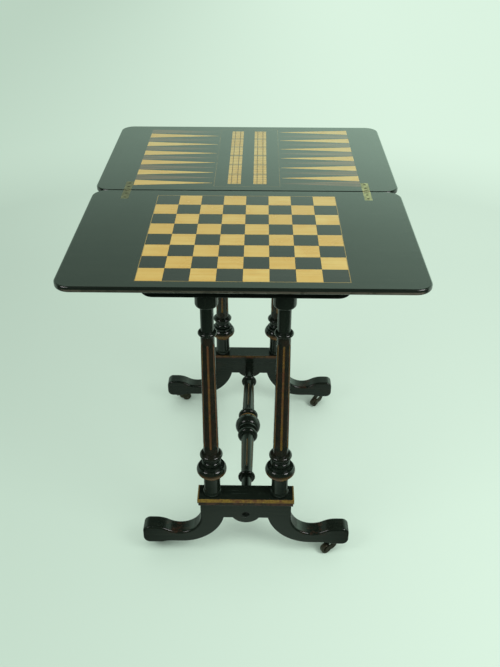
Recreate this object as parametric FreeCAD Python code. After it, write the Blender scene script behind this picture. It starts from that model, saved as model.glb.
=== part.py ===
import FreeCAD, Part
import math
import os

# Swivel-top games table. X runs along the fold, +Y away from the chess player, +Z up.
# The origin is on the floor, under the middle of the fold line, with the top open.
V = FreeCAD.Vector
origin = V(0, 0, 0)
along_x = V(1, 0, 0)
along_y = V(0, 1, 0)
along_z = V(0, 0, 1)
quarter_turn = 90

# Clearances and cuts
rest_gap = 0.3
running_gap = 0.06
overrun = 2.0
same_place = 0.001

# Leaves: two boards of one size that meet at the fold
table_height = 720.0
leaf_width = 685.0
leaf_depth = 445.0
leaf_thickness = 13.0
leaf_corner = 32.0
leaf_top_arris = 3.0
leaf_bottom_round = 5.5
fold_gap = 0.3

# Inlay of the chess leaf
squares_per_side = 8
board_share = 0.8737
square_joint = 0.2
board_shift = 2.5
inlay_depth = 1.5
stringing_width = 1.2

# Inlay of the games leaf
points_per_side = 12
points_share = 0.8737
point_joint = 0.8
point_base_share = 0.37737
point_length_share = 0.26058
point_tip_width = 0.8
panel_point_gap = 4.3
panel_end_gap = 3.6
strip_end_gap = 13.7
strip_spacing_share = 0.396
tablets_per_strip = 6
tablet_width_share = 0.2013
tablet_depth = 6.0
tablet_gap = 1.2
middle_gap = 2.6
peg_holes_per_tablet = 5
peg_hole_radius = 1.25
peg_hole_depth = 5.0
peg_row_share = 0.45
peg_pitch_share = 0.1894

# Link hinges let into the top across the fold
hinge_point_gap = 1.0
hinge_width = 17.0
hinge_length = 49.0
hinge_thickness = 2.6
link_width = 7.0
link_radius = 2.8
hinge_pin_radius = 1.2
hinge_screw_first = 19.0
hinge_screw_pitch = 21.0
hinge_screw_head = 3.2
hinge_screw_shank = 1.6
hinge_screw_length = 9.5

# Bed board and where it stands under the open top
bed_inset = 29.0
bed_thickness = 20.0
bed_corner = 25.0
bed_bottom_round = 6.0
front_overhang = 19.5
side_shift = 5.0

# Pivot of the top
pivot_flange_radius = 30.0
pivot_flange_thickness = 3.0
spindle_radius = 8.0
spindle_tail = 3.0
bush_radius = 11.0
washer_radius = 16.0
washer_thickness = 2.5
nut_across_flats = 24.0
nut_height = 8.0
nut_sides = 6
pivot_screw_circle = 21.0
pivot_screw_count = 4
pivot_screw_head = 3.6
pivot_screw_shank = 1.8
pivot_screw_length = 8.5
stop_radius = 60.0
stop_peg_radius = 4.0
stop_peg_reach = 7.0
stop_peg_socket = 6.0
stop_groove_depth = 8.0

# Trestle ends
column_spread = 147.5
column_inset = 37.0
block_width = 200.0
block_height = 36.0
block_thickness = 38.0
block_flat = 20.0
lobe_drop = 15.0
cap_overhang_x = 6.0
cap_overhang_y = 4.0
cap_moulding_height = 10.0
cap_shelf_height = 13.0
cap_step = 2.0
cap_chamfer = 2.0
cap_bottom_round = 4.0
dowel_radius = 5.0
dowel_length = 30.0
dowel_spacing = 26.0

# Scroll feet
foot_thickness = 37.4
foot_seat_length = 51.0
arch_run = 96.0
arch_height = 76.0
hollow_radius = 50.0
toe_rise = 15.0
shoulder_radius = 60.0
toe_flat = 12.2
toe_corner = 15.0
pad_drop = 7.0
pad_run = 22.0
foot_edge_round = 5.0

# Turned columns, from the block cap up to the bed board
tenon_radius = 10.0
foot_tenon_length = 35.0
bed_tenon_length = 12.0
base_ring_radius = 20.2
base_ring_height = 11.0
drum_radius = 18.4
drum_waist_radius = 17.8
drum_height = 39.5
fillet_radius = 19.6
fillet_height = 6.0
bulb_foot_radius = 22.5
bulb_radius = 32.4
bulb_top_radius = 28.0
bulb_lower_height = 12.5
bulb_upper_height = 10.0
collar_radius = 25.0
collar_height = 5.5
torus_root_radius = 18.6
torus_radius = 20.8
torus_height = 9.5
bulb_neck_radius = 17.2
bulb_neck_height = 10.0
ring_radius = 24.5
ring_height = 11.0
shaft_bottom_radius = 16.7
shaft_top_radius = 13.6
necking_radius = 18.9
necking_height = 8.0
upper_neck_radius = 13.0
upper_neck_height = 56.0
capital_radius = 22.3
capital_foot_radius = 17.0
capital_round_height = 7.0
capital_height = 28.7

# Flutes of the columns and of the stretcher
flutes_round = 6
flute_cutter_radius = 3.6
flute_depth = 1.3
flute_point = 12.0
flute_margin = 10.0
flute_offset_angle = 2.0

# Turned stretcher, half of it from the middle outwards
stretcher_height = 21.0
stretcher_bulb_radius = 31.0
stretcher_bulb_half = 15.0
stretcher_bulb_edge = 25.0
stretcher_step_radius = 23.4
stretcher_step_width = 6.0
stretcher_neck_radius = 18.5
stretcher_neck_width = 9.0
stretcher_collar_radius = 24.5
stretcher_collar_width = 16.0
stretcher_shaft_radius = 15.5
stretcher_shaft_end_radius = 13.0
stretcher_ring_radius = 19.75
stretcher_ring_width = 11.0
stretcher_ring_setback = 70.5
stretcher_end_radius = 11.5
stretcher_tenon_radius = 9.0
stretcher_tenon_length = 22.0
boss_drop = 13.5
boss_radius = 9.0
boss_dome = 4.0
boss_stem_radius = 4.0
boss_stem_length = 9.0

# Castors
wheel_diameter = 24.0
wheel_width = 12.0
wheel_edge = 2.0
wheel_hub_radius = 4.6
wheel_recess = 1.4
wheel_rim = 2.1
wheel_top_gap = 0.7
axle_radius = 2.0
axle_head = 0.8
horn_trail = 25.0
horn_boss_radius = 8.0
horn_boss_thickness = 4.5
horn_side_gap = 0.4
horn_cheek = 2.0
horn_eye_radius = 6.0
stem_radius = 3.0
stem_head_radius = 4.8
stem_head_height = 1.5
castor_plate_radius = 10.5
castor_plate_thickness = 2.5
castor_setback = 27.0
castor_screw_circle = 7.2
castor_screw_count = 3
castor_screw_head = 2.3
castor_screw_shank = 1.2
castor_screw_length = 13.0
screw_slot_width = 0.8
screw_slot_depth = 0.7

# Castors stand turned at these angles in the resting table
castor_angles = {"front_left": 84, "front_right": 205, "rear_left": 21, "rear_right": 219}

# Horn outline: where the throat curve passes, as shares of the trail and the drop
horn_throat_shares = (0.30, 0.15)
horn_bridge_share = 0.62
horn_throat_start_share = 0.25

# Heights and places that follow from the sizes above
leaf_bottom = table_height - leaf_thickness
leaf_centre_y = (fold_gap + leaf_depth) / 2
square_pitch = leaf_depth * board_share / squares_per_side
point_pitch = leaf_depth * points_share / points_per_side
point_base = leaf_width * point_base_share
point_tip = point_base - leaf_width * point_length_share
panel_width = 2 * (point_tip - panel_point_gap - stringing_width)
panel_length = points_per_side * point_pitch + 2 * panel_end_gap
strip_length = panel_length - 2 * strip_end_gap
strip_spacing = panel_width * strip_spacing_share
tablet_width = panel_width * tablet_width_share
tablet_length = (strip_length - (tablets_per_strip - 2) * tablet_gap - middle_gap) / tablets_per_strip
peg_row_spacing = tablet_width * peg_row_share
peg_pitch = tablet_length * peg_pitch_share
hinge_spacing = 2 * (point_base + hinge_point_gap) + hinge_width
bed_top = leaf_bottom - rest_gap
bed_bottom = bed_top - bed_thickness
bed_length = leaf_width - 2 * bed_inset
bed_width = leaf_depth - 2 * bed_inset
base_x = side_shift
base_y = front_overhang + bed_length / 2 - leaf_depth - fold_gap / 2
pivot_x = (base_x + base_y + leaf_centre_y) / 2
pivot_y = (base_y - base_x - leaf_centre_y) / 2
hinge_axis_y = fold_gap / 2 + leaf_top_arris
hinge_axis_z = table_height - leaf_top_arris
wheel_radius = wheel_diameter / 2
horn_boss_bottom = wheel_diameter + wheel_top_gap
horn_boss_top = horn_boss_bottom + horn_boss_thickness
castor_plate_bottom = horn_boss_top + rest_gap
foot_bottom = castor_plate_bottom + castor_plate_thickness
block_bottom = foot_bottom + pad_drop + arch_height
cap_bottom = block_bottom + block_height
cap_shelf_bottom = cap_bottom + cap_moulding_height
cap_top = cap_shelf_bottom + cap_shelf_height
column_height = bed_bottom - cap_top
frame_half = bed_length / 2 - column_inset
half_block = block_width / 2
shoulder_run = math.sqrt(2 * (hollow_radius + shoulder_radius) * toe_rise - toe_rise ** 2)
foot_reach = half_block + hollow_radius + shoulder_run + toe_flat + toe_corner
castor_reach = foot_reach - castor_setback
stretcher_axis = block_bottom + stretcher_height
cheek_inner = wheel_width / 2 + horn_side_gap
cheek_outer = cheek_inner + horn_cheek


def box(x0, x1, y0, y1, z0, z1):
    return Part.makeBox(x1 - x0, y1 - y0, z1 - z0, V(x0, y0, z0))


def disc(radius, z0, z1, x=0, y=0):
    return Part.makeCylinder(radius, z1 - z0, V(x, y, z0))


def rod_x(radius, x0, x1, y, z):
    return Part.makeCylinder(radius, x1 - x0, V(x0, y, z), along_x)


def moved(shape, x, y, z=0):
    copy = shape.copy()
    copy.translate(V(x, y, z))
    return copy


def turned_about(shape, angle, x=0, y=0):
    copy = shape.copy()
    copy.rotate(V(x, y, 0), along_z, angle)
    return copy


def mirrored_y(shape):
    return shape.mirror(origin, along_y)


def edges_at(shape, height):
    return [e for e in shape.Edges if all(abs(v.Point.z - height) < same_place for v in e.Vertexes)]


def outline(stations):
    # A station of two numbers ends a straight stretch, one of four ends an arc through its first pair.
    edges = []
    last = stations[0]
    for station in stations[1:] + stations[:1]:
        start = V(last[-2], 0, last[-1])
        end = V(station[-2], 0, station[-1])
        if len(station) == 4:
            edges.append(Part.Arc(start, V(station[0], 0, station[1]), end).toShape())
        else:
            edges.append(Part.makeLine(start, end))
        last = station
    return Part.Face(Part.Wire(edges))


def turned(stations):
    return outline(stations).revolve(origin, along_z, 4 * quarter_turn)


def bead(root, start, end, crest):
    # Half-round moulding from one height to the next
    return (crest, (start + end) / 2, root, end)


def ring(start, end, crest):
    # Ring with flat flanks and a half-round edge
    half = (end - start) / 2
    return [(crest - half, start), (crest, start + half, crest - half, end)]


def level_arc(crest_x, crest_z, run, radius):
    # Middle of an arc that is level at its crest and ends a run away from it
    half = math.asin(run / radius) / 2
    return (crest_x + radius * math.sin(half), crest_z - radius * (1 - math.cos(half)))


def sagitta_radius(run, drop):
    # Radius of an arc that starts level and drops by so much over a run
    return (run ** 2 + drop ** 2) / (2 * drop)


def swell(wide, wide_at, end, end_at):
    # Middle of an arc that stands upright at its widest place and ends at the narrow one
    inward = wide - end
    rise = end_at - wide_at
    radius = sagitta_radius(rise, inward)
    half = math.asin(rise / radius) / 2
    return (wide - radius * (1 - math.cos(half)), wide_at + radius * math.sin(half))


def slab(width, depth, bottom, top, corner):
    # Board with round corners in plan, centred on the Z axis
    block = box(-width / 2, width / 2, -depth / 2, depth / 2, bottom, top)
    uprights = [e for e in block.Edges if abs(e.tangentAt(e.FirstParameter).z) > 0]
    return block.makeFillet(corner, uprights)


def wood_screw(head, shank, length):
    # Countersunk screw that points down, with its slotted head flush at height zero
    cone = head - shank
    body = turned([(0, -length), (shank, shank - length), (shank, -cone), (head, 0), (0, 0)])
    slot = box(-head, head, -screw_slot_width / 2, screw_slot_width / 2, -screw_slot_depth, overrun)
    return body.cut(slot)


def screw_hole(head, shank, length):
    cone = head - shank
    return turned([(0, -length), (shank, shank - length), (shank, -cone), (head, 0), (head, overrun), (0, overrun)])


def pointing_up(shape):
    return shape.mirror(origin, along_z)


def flute(length, bottom_radius, top_radius, start):
    # Long pointed cutter that lies along a tapering shaft
    cutter = turned([(0, 0), (flute_cutter_radius, flute_point), (flute_cutter_radius, length - flute_point), (0, length)])
    lean = math.degrees(math.atan2(bottom_radius - top_radius, length))
    cutter.rotate(origin, along_y, -lean)
    cutter.translate(V(bottom_radius - flute_depth + flute_cutter_radius, 0, start))
    return cutter


def fluted(shape, length, bottom_radius, top_radius, start):
    cutter = flute(length, bottom_radius, top_radius, start)
    step = 4 * quarter_turn / flutes_round
    return shape.cut([turned_about(cutter, flute_offset_angle - quarter_turn + step * i) for i in range(flutes_round)])


# Leaves and their inlay


def leaf_blank():
    board = slab(leaf_width, leaf_depth, leaf_bottom, table_height, leaf_corner)
    board = board.makeFillet(leaf_top_arris, edges_at(board, table_height))
    return board.makeFillet(leaf_bottom_round, edges_at(board, leaf_bottom))


def board_frame():
    # Centre of the chess board and half its side
    return -leaf_centre_y - board_shift, squares_per_side * square_pitch / 2


def chess_squares(parity):
    centre, half = board_frame()
    squares = []
    for column in range(squares_per_side):
        for row in range(squares_per_side):
            if (column + row) % 2 == parity:
                x = column * square_pitch - half + square_joint / 2
                y = row * square_pitch - half + square_joint / 2 + centre
                side = square_pitch - square_joint
                squares.append(box(x, x + side, y, y + side, table_height - inlay_depth, table_height))
    return Part.makeCompound(squares)


def square_frame(half_x, half_y, centre_y):
    outer = (half_x + stringing_width, half_y + stringing_width)
    floor = table_height - inlay_depth
    ring = box(-outer[0], outer[0], centre_y - outer[1], centre_y + outer[1], floor, table_height)
    return ring.cut(box(-half_x, half_x, centre_y - half_y, centre_y + half_y, floor - overrun, table_height + overrun))


def chess_stringing():
    centre, half = board_frame()
    return square_frame(half, half, centre)


def chess_recess():
    centre, half = board_frame()
    reach = half + stringing_width
    return box(-reach, reach, centre - reach, centre + reach, table_height - inlay_depth, table_height + overrun)


def point(side, row, height):
    # Long wedge with its base near the leaf's end and its tip towards the middle
    base = side * point_base
    tip = side * point_tip
    y = leaf_centre_y + (row - (points_per_side - 1) / 2) * point_pitch
    half_base = (point_pitch - point_joint) / 2
    half_tip = point_tip_width / 2
    corners = [(base, y - half_base), (base, y + half_base), (tip, y + half_tip), (tip, y - half_tip)]
    ring = [V(px, py, table_height - inlay_depth) for px, py in corners + corners[:1]]
    return Part.Face(Part.makePolygon(ring)).extrude(V(0, 0, height))


def points(parity, height):
    # The colours alternate along each side and are opposed across the leaf
    chosen = []
    for side in (-1, 1):
        for row in range(points_per_side):
            if (row + (side + 1) // 2) % 2 == parity:
                chosen.append(point(side, row, height))
    return Part.makeCompound(chosen)


def games_stringing():
    return square_frame(panel_width / 2, panel_length / 2, leaf_centre_y)


def games_stringing_recess():
    ring = games_stringing()
    return ring.fuse(moved(ring, 0, 0, inlay_depth)).removeSplitter()


def tablet_starts():
    # Near edge of each tablet; the gap at half way is the wider one
    half = tablets_per_strip // 2
    first = leaf_centre_y - strip_length / 2
    starts = []
    for index in range(tablets_per_strip):
        extra = middle_gap - tablet_gap if index >= half else 0
        starts.append(first + index * (tablet_length + tablet_gap) + extra)
    return starts


def tablet_blanks(height):
    floor = table_height - tablet_depth
    left = (-strip_spacing - tablet_width) / 2
    right = (strip_spacing - tablet_width) / 2
    return [box(x, x + tablet_width, y, y + tablet_length, floor, floor + height) for x in (left, right) for y in tablet_starts()]


def peg_holes(blank):
    centre = blank.BoundBox.Center
    bottom = table_height - peg_hole_depth
    first = centre.y - (peg_holes_per_tablet - 1) * peg_pitch / 2
    holes = []
    for x in (centre.x - peg_row_spacing / 2, centre.x + peg_row_spacing / 2):
        for index in range(peg_holes_per_tablet):
            holes.append(disc(peg_hole_radius, bottom, table_height + overrun, x, first + index * peg_pitch))
    return holes


def cribbage_tablets():
    return Part.makeCompound([blank.cut(peg_holes(blank)) for blank in tablet_blanks(tablet_depth)])


# Link hinges, drawn for the chess side and mirrored for the games side


def at_hinges(shape):
    return [moved(shape, side * hinge_spacing / 2, 0) for side in (-1, 1)]


def link_slot():
    # Room for the link from lying flat to standing upright
    half = link_width / 2 + rest_gap
    reach = link_radius + rest_gap
    upper = box(-half, half, -hinge_axis_y - reach, 0, hinge_axis_z, table_height + overrun)
    lower = box(-half, half, -hinge_axis_y, 0, hinge_axis_z - reach, hinge_axis_z)
    return rod_x(reach, -half, half, -hinge_axis_y, hinge_axis_z).fuse([upper, lower])


def hinge_plate_blank():
    half = hinge_width / 2
    end = -fold_gap / 2 - hinge_length
    flat = box(-half, half, end, -hinge_axis_y, table_height - hinge_thickness, table_height)
    return flat.fuse(rod_x(leaf_top_arris, -half, half, -hinge_axis_y, hinge_axis_z)).removeSplitter()


def hinge_pin():
    half = hinge_width / 2
    return rod_x(hinge_pin_radius, -half, half, -hinge_axis_y, hinge_axis_z)


def hinge_screw_places():
    first = -fold_gap / 2 - hinge_screw_first
    return [first, first - hinge_screw_pitch]


def hinge_screw_holes():
    hole = screw_hole(hinge_screw_head, hinge_screw_shank, hinge_screw_length)
    return [moved(hole, 0, y, table_height) for y in hinge_screw_places()]


def hinge_plate():
    return hinge_plate_blank().cut([link_slot(), hinge_pin()] + hinge_screw_holes())


def hinge_screws():
    screw = wood_screw(hinge_screw_head, hinge_screw_shank, hinge_screw_length)
    return Part.makeCompound([moved(screw, 0, y, table_height) for y in hinge_screw_places()])


def hinge_recess():
    plate = hinge_plate_blank()
    raised = moved(plate, 0, 0, leaf_top_arris)
    return [plate, raised, link_slot()] + hinge_screw_holes()


def hinge_link():
    half = link_width / 2
    body = box(-half, half, -hinge_axis_y, hinge_axis_y, hinge_axis_z - link_radius, hinge_axis_z + link_radius)
    ends = [rod_x(link_radius, -half, half, y, hinge_axis_z) for y in (-hinge_axis_y, hinge_axis_y)]
    bore = hinge_pin_radius + running_gap
    holes = [rod_x(bore, -half, half, y, hinge_axis_z) for y in (-hinge_axis_y, hinge_axis_y)]
    return body.fuse(ends).removeSplitter().cut(holes)


def for_games_side(shapes):
    return [mirrored_y(shape) for shape in shapes]


def hinge_cuts():
    return [copy for cut in hinge_recess() for copy in at_hinges(cut)]


# Pivot of the top


def pivot_plate():
    end = bed_bottom - rest_gap - washer_thickness - nut_height - spindle_tail
    top = leaf_bottom + pivot_flange_thickness
    plate = turned([(0, end), (spindle_radius, end), (spindle_radius, leaf_bottom),
                    (pivot_flange_radius, leaf_bottom), (pivot_flange_radius, top), (0, top)])
    return moved(plate, pivot_x, pivot_y).cut(pivot_screw_holes())


def pivot_screw_places():
    step = 4 * quarter_turn / pivot_screw_count
    spots = []
    for index in range(pivot_screw_count):
        angle = math.radians(step * (index + 1 / 2))
        spots.append((pivot_x + pivot_screw_circle * math.cos(angle), pivot_y + pivot_screw_circle * math.sin(angle)))
    return spots


def pivot_screw_holes():
    hole = pointing_up(screw_hole(pivot_screw_head, pivot_screw_shank, pivot_screw_length))
    return [moved(hole, x, y, leaf_bottom) for x, y in pivot_screw_places()]


def pivot_plate_screws():
    screw = pointing_up(wood_screw(pivot_screw_head, pivot_screw_shank, pivot_screw_length))
    return Part.makeCompound([moved(screw, x, y, leaf_bottom) for x, y in pivot_screw_places()])


def pivot_bush():
    ring = disc(bush_radius, bed_bottom, bed_top, pivot_x, pivot_y)
    return ring.cut(disc(spindle_radius + running_gap, bed_bottom - overrun, bed_top + overrun, pivot_x, pivot_y))


def pivot_washer():
    top = bed_bottom - rest_gap
    ring = disc(washer_radius, top - washer_thickness, top, pivot_x, pivot_y)
    return ring.cut(disc(spindle_radius, top - washer_thickness - overrun, top + overrun, pivot_x, pivot_y))


def pivot_nut():
    top = bed_bottom - rest_gap - washer_thickness
    corner = nut_across_flats / (2 * math.cos(math.pi / nut_sides))
    ring = []
    for index in range(nut_sides + 1):
        angle = 2 * math.pi * index / nut_sides
        ring.append(V(pivot_x + corner * math.cos(angle), pivot_y + corner * math.sin(angle), top - nut_height))
    hexagon = Part.Face(Part.makePolygon(ring)).extrude(V(0, 0, nut_height))
    return hexagon.cut(disc(spindle_radius, top - nut_height - overrun, top + overrun, pivot_x, pivot_y))


def swivel_stop_peg():
    return disc(stop_peg_radius, bed_top - stop_peg_reach, leaf_bottom + stop_peg_socket, pivot_x - stop_radius, pivot_y)


def stop_groove():
    # Quarter ring in the bed that the stop peg runs along
    half = stop_peg_radius + rest_gap
    floor = bed_top - stop_groove_depth
    inner = stop_radius - half
    outer = stop_radius + half
    ceiling = bed_top + overrun
    section = outline([(-outer, floor), (-inner, floor), (-inner, ceiling), (-outer, ceiling)])
    ring = section.revolve(origin, along_z, -quarter_turn)
    ends = [disc(half, floor, ceiling, -stop_radius, 0), disc(half, floor, ceiling, 0, stop_radius)]
    return moved(ring.fuse(ends), pivot_x, pivot_y)


def chess_leaf():
    board = moved(leaf_blank(), 0, -leaf_centre_y)
    flange = disc(pivot_flange_radius, leaf_bottom - overrun, leaf_bottom + pivot_flange_thickness, pivot_x, pivot_y)
    return board.cut([chess_recess(), flange, swivel_stop_peg()] + pivot_screw_holes() + hinge_cuts())


def games_leaf():
    board = moved(leaf_blank(), 0, leaf_centre_y)
    deep = inlay_depth + overrun
    inlay = [points(0, deep), points(1, deep), games_stringing_recess()]
    return board.cut(inlay + tablet_blanks(tablet_depth + overrun) + for_games_side(hinge_cuts()))


# Bed board and trestle ends


def column_places():
    places = {}
    for end, y in (("front", -frame_half), ("rear", frame_half)):
        for side, x in (("left", -column_spread / 2), ("right", column_spread / 2)):
            places[end + "_" + side] = (base_x + x, base_y + y)
    return places


def bed_board():
    board = slab(bed_width, bed_length, bed_bottom, bed_top, bed_corner)
    board = board.makeFillet(bed_bottom_round, edges_at(board, bed_bottom))
    board = moved(board, base_x, base_y)
    sockets = [disc(tenon_radius, bed_bottom - overrun, bed_bottom + bed_tenon_length, x, y) for x, y in column_places().values()]
    bush = disc(bush_radius, bed_bottom - overrun, bed_top + overrun, pivot_x, pivot_y)
    return board.cut(sockets + [bush, stop_groove()])


def column():
    base_top = base_ring_height
    drum_top = base_top + drum_height
    fillet_top = drum_top + fillet_height
    bulb_wide = fillet_top + bulb_lower_height
    bulb_top = bulb_wide + bulb_upper_height
    collar_top = bulb_top + collar_height
    torus_top = collar_top + torus_height
    neck_top = torus_top + bulb_neck_height
    ring_top = neck_top + ring_height
    capital_bottom = column_height - capital_height
    upper_neck_top = capital_bottom - capital_round_height
    necking_top = upper_neck_top - upper_neck_height
    shaft_top = necking_top - necking_height
    post = turned([
        (0, -foot_tenon_length),
        (tenon_radius, -foot_tenon_length),
        (tenon_radius, 0),
        (drum_radius, 0),
        bead(drum_radius, 0, base_top, base_ring_radius),
        (drum_waist_radius, (base_top + drum_top) / 2, drum_radius, drum_top),
        (fillet_radius, drum_top),
        (fillet_radius, fillet_top),
        (bulb_foot_radius, fillet_top),
        swell(bulb_radius, bulb_wide, bulb_foot_radius, fillet_top) + (bulb_radius, bulb_wide),
        swell(bulb_radius, bulb_wide, bulb_top_radius, bulb_top) + (bulb_top_radius, bulb_top),
        (collar_radius, bulb_top),
        (collar_radius, collar_top),
        (torus_root_radius, collar_top),
        bead(torus_root_radius, collar_top, torus_top, torus_radius),
        (bulb_neck_radius, torus_top),
        (bulb_neck_radius, neck_top),
        *ring(neck_top, ring_top, ring_radius),
        (shaft_bottom_radius, ring_top),
        (shaft_top_radius, shaft_top),
        *ring(shaft_top, necking_top, necking_radius),
        (upper_neck_radius, necking_top),
        (upper_neck_radius, upper_neck_top),
        (capital_foot_radius, upper_neck_top),
        swell(capital_radius, capital_bottom, capital_foot_radius, upper_neck_top) + (capital_radius, capital_bottom),
        (capital_radius, column_height),
        (tenon_radius, column_height),
        (tenon_radius, column_height + bed_tenon_length),
        (0, column_height + bed_tenon_length),
    ])
    start = ring_top + flute_margin
    length = shaft_top - flute_margin - start
    return moved(fluted(post, length, shaft_bottom_radius, shaft_top_radius, start), 0, 0, cap_top)


def lobe_outline():
    # Block face seen from the front: flat underside with a round lobe at its middle
    inner = half_block - foot_seat_length - block_flat
    return outline([(-half_block, block_bottom), (-inner, block_bottom), (0, block_bottom - lobe_drop, inner, block_bottom),
                    (half_block, block_bottom), (half_block, cap_bottom), (-half_block, cap_bottom)])


def foot_dowel_places():
    centre = half_block - foot_seat_length / 2
    return [side * (centre + step) for side in (-1, 1) for step in (-dowel_spacing / 2, dowel_spacing / 2)]


def end_block(facing):
    # facing is -1 where the outer face looks to the front and 1 where it looks to the rear
    body = moved(lobe_outline().extrude(V(0, block_thickness, 0)), 0, -block_thickness / 2)
    tenons = [disc(tenon_radius, cap_top - foot_tenon_length, cap_bottom + overrun, x, 0) for x in (-column_spread / 2, column_spread / 2)]
    dowels = [disc(dowel_radius, block_bottom - overrun, block_bottom + dowel_length / 2, x, 0) for x in foot_dowel_places()]
    body = body.cut(tenons + dowels)
    body = moved(body, base_x, base_y + facing * frame_half)
    return body.cut([stretcher(), stretcher_boss(facing)])


def block_cap(end):
    length = block_width + 2 * cap_overhang_x
    depth = block_thickness + 2 * cap_overhang_y
    shelf = box(-length / 2, length / 2, -depth / 2, depth / 2, cap_shelf_bottom, cap_top)
    shelf = shelf.makeChamfer(cap_chamfer, edges_at(shelf, cap_top))
    half_x = length / 2 - cap_step
    half_y = depth / 2 - cap_step
    moulding = box(-half_x, half_x, -half_y, half_y, cap_bottom, cap_shelf_bottom)
    moulding = moulding.makeFillet(min(cap_bottom_round, cap_overhang_y - cap_step), edges_at(moulding, cap_bottom))
    plate = shelf.fuse(moulding)
    holes = [disc(tenon_radius, cap_bottom - overrun, cap_top + overrun, x, 0) for x in (-column_spread / 2, column_spread / 2)]
    return moved(plate.cut(holes), base_x, base_y + end * frame_half)


def foot():
    # Scroll foot of the right side, standing off from the trestle's middle along +X
    seat = half_block - foot_seat_length
    sole = block_bottom - arch_height
    hollow_x = half_block + hollow_radius
    toe_top = block_bottom - hollow_radius + toe_rise
    shoulder_x = hollow_x + shoulder_run
    joint_share = hollow_radius / (hollow_radius + shoulder_radius)
    joint_x = hollow_x + shoulder_run * joint_share
    joint_z = block_bottom - (hollow_radius + shoulder_radius - toe_rise) * joint_share
    shoulder_mid = level_arc(shoulder_x, toe_top, joint_x - shoulder_x, shoulder_radius)
    pad_x = castor_reach - castor_plate_radius
    cove_x = pad_x - pad_run
    cove = level_arc(cove_x, sole, pad_run, sagitta_radius(pad_run, pad_drop))
    slant = math.sqrt(1 / 2)
    arch_x = seat + arch_run
    arch_mid, arch_dip = level_arc(0, 0, arch_run, sagitta_radius(arch_run, arch_height))
    toe_x = foot_reach - toe_corner
    profile = outline([
        (seat, block_bottom),
        (arch_x - arch_mid, sole - arch_dip, arch_x, sole),
        (cove_x, sole),
        cove + (pad_x, foot_bottom),
        (toe_x, foot_bottom),
        (toe_x + toe_corner * slant, foot_bottom + toe_corner * (1 - slant), foot_reach, foot_bottom + toe_corner),
        (foot_reach, toe_top - toe_corner),
        (toe_x + toe_corner * slant, toe_top - toe_corner * (1 - slant), toe_x, toe_top),
        (shoulder_x, toe_top),
        shoulder_mid + (joint_x, joint_z),
        (hollow_x - hollow_radius * slant, block_bottom - hollow_radius * slant, half_block, block_bottom),
    ])
    body = moved(profile.extrude(V(0, foot_thickness, 0)), 0, -foot_thickness / 2)
    upper = [e for e in body.Edges if e.Curve.TypeId == "Part::GeomCircle" and e.BoundBox.ZMin > foot_bottom + toe_corner]
    body = body.makeFillet(foot_edge_round, [e for e in upper if e.BoundBox.XMin > half_block - same_place])
    dowels = [disc(dowel_radius, block_bottom - dowel_length / 2, block_bottom + overrun, x, 0) for x in foot_dowel_places()]
    return body.cut(dowels + castor_screw_holes())


def foot_dowels():
    pegs = []
    for end in (-1, 1):
        for x in foot_dowel_places():
            middle = dowel_length / 2
            pegs.append(disc(dowel_radius, block_bottom - middle, block_bottom + middle, base_x + x, base_y + end * frame_half))
    return Part.makeCompound(pegs)


def stretcher_half():
    step_top = stretcher_bulb_half + stretcher_step_width
    neck_top = step_top + stretcher_neck_width
    collar_top = neck_top + stretcher_collar_width
    face = frame_half - block_thickness / 2
    ring_middle = face - stretcher_ring_setback
    ring_start = ring_middle - stretcher_ring_width / 2
    ring_end = ring_middle + stretcher_ring_width / 2
    end = face + stretcher_tenon_length
    rod = turned([
        (0, 0),
        (stretcher_bulb_radius, 0),
        swell(stretcher_bulb_radius, 0, stretcher_bulb_edge, stretcher_bulb_half) + (stretcher_bulb_edge, stretcher_bulb_half),
        (stretcher_step_radius, stretcher_bulb_half),
        (stretcher_step_radius, step_top),
        (stretcher_neck_radius, step_top),
        (stretcher_neck_radius, neck_top),
        bead(stretcher_shaft_radius, neck_top, collar_top, stretcher_collar_radius),
        (stretcher_shaft_end_radius, ring_start),
        *ring(ring_start, ring_end, stretcher_ring_radius),
        (stretcher_end_radius, ring_end),
        (stretcher_end_radius, face),
        (stretcher_tenon_radius, face),
        (stretcher_tenon_radius, end),
        (0, end),
    ])
    start = collar_top + flute_margin
    length = ring_start - flute_margin - start
    return fluted(rod, length, stretcher_shaft_radius, stretcher_shaft_end_radius, start)


def stretcher():
    half = stretcher_half()
    rod = half.fuse(half.mirror(origin, along_z)).removeSplitter()
    rod.rotate(origin, along_x, quarter_turn)
    return moved(rod, base_x, base_y, stretcher_axis)


def stretcher_boss(facing):
    # Domed button on the outer face of a block, at the middle of its lobe
    sphere = sagitta_radius(boss_radius, boss_dome)
    knob = turned([(0, -boss_stem_length), (boss_stem_radius, -boss_stem_length), (boss_stem_radius, 0), (boss_radius, 0),
                   level_arc(0, boss_dome, boss_radius, sphere) + (0, boss_dome)])
    knob.rotate(origin, along_x, -facing * quarter_turn)
    return moved(knob, base_x, base_y + facing * (frame_half + block_thickness / 2), stretcher_axis - boss_drop)


# Castors, drawn with the swivel on the Z axis and the wheel trailing along +X


def castor_screw_holes():
    hole = pointing_up(screw_hole(castor_screw_head, castor_screw_shank, castor_screw_length))
    return [moved(hole, castor_reach + x, y, castor_plate_bottom) for x, y in castor_screw_places()]


def castor_screw_places():
    step = 2 * math.pi / castor_screw_count
    return [(castor_screw_circle * math.cos(step * i), castor_screw_circle * math.sin(step * i)) for i in range(castor_screw_count)]


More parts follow.
